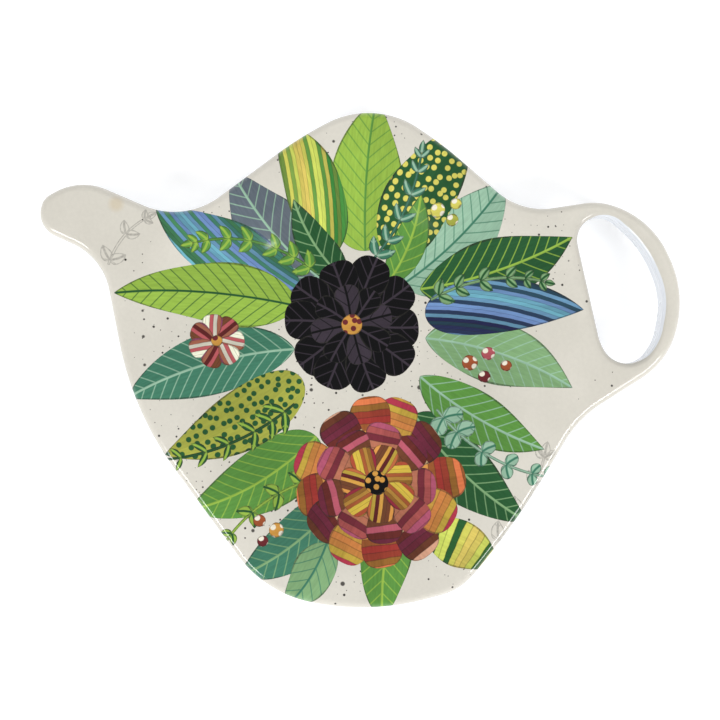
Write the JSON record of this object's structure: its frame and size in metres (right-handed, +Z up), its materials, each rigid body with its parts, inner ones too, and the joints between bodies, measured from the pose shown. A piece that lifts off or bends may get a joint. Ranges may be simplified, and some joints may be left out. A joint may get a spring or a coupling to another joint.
{
  "type": "tea bag rest",
  "caption": "Small teapot-shaped dish in printed white melamine that holds a used tea bag or spoon, with a pouring spout, a looped handle and a foot ring.",
  "frame": {"origin": "middle of the teapot outline's length and depth, on the surface that the foot ring stands on", "axes": "+X towards the handle, +Y towards the teapot's lid, +Z up out of the dish"},
  "size_m": [0.115, 0.089, 0.0095],
  "materials": {
    "white_melamine": "compression-moulded white melamine, glossy above and slightly duller underneath",
    "printed_foil": "printed paper foil under a clear melamine glaze: cream ground with a leaf and berry print in greens, slate, rust and ochre"
  },
  "bodies": {
    "root": {"melamine_tray": "white_melamine", "decor_foil": "printed_foil"}
  },
  "joints": []
}
